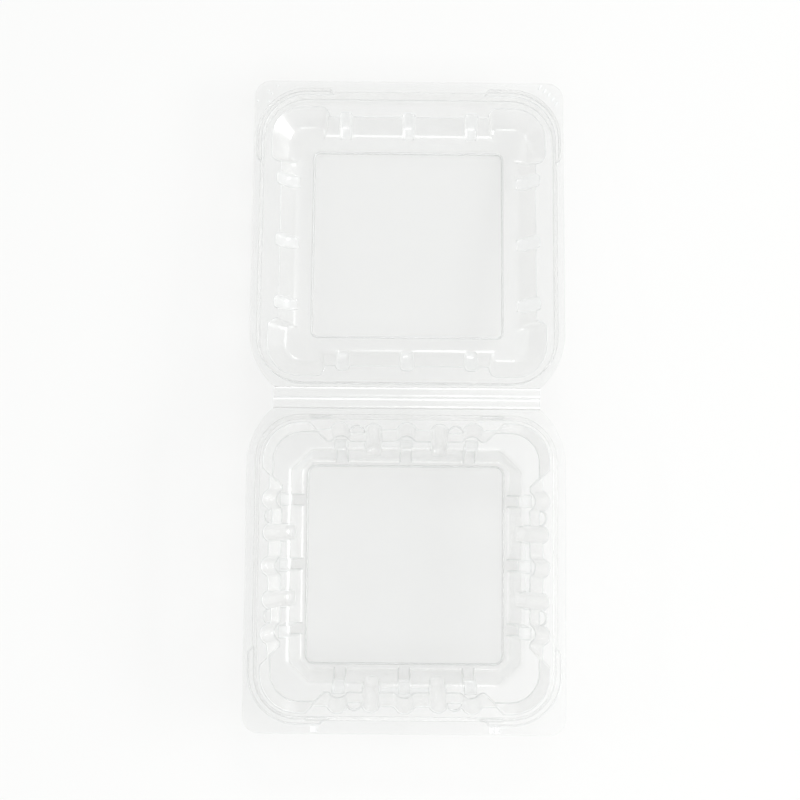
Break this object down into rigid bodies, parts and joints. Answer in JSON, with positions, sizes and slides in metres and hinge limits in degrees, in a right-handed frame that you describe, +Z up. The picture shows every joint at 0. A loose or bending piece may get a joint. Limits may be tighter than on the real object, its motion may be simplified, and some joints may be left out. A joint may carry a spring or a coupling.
{
  "type": "hinged plastic food pack",
  "caption": "Clear hinged plastic clamshell pack lying open: square base with fluted walls and raised rim, joined by a web to a shallow stepped lid.",
  "frame": {"origin": "on the table, under the middle of the open pack", "axes": "+X to the right along the hinge, +Y from the base across the hinge to the lid, +Z up"},
  "size_m": [0.16, 0.3324, 0.035],
  "materials": {
    "clear_sheet": "clear, glossy, thermoformed sheet"
  },
  "bodies": {
    "base": {"base_tray": "clear_sheet"},
    "lid": {"lid": "clear_sheet"}
  },
  "joints": [
    {"name": "lid_hinge", "type": "hinge", "parent": "base", "child": "lid", "pos_m": [0, 0.0002, 0.02865], "axis": [1, 0, 0], "range_deg": [0, 183.9]}
  ]
}
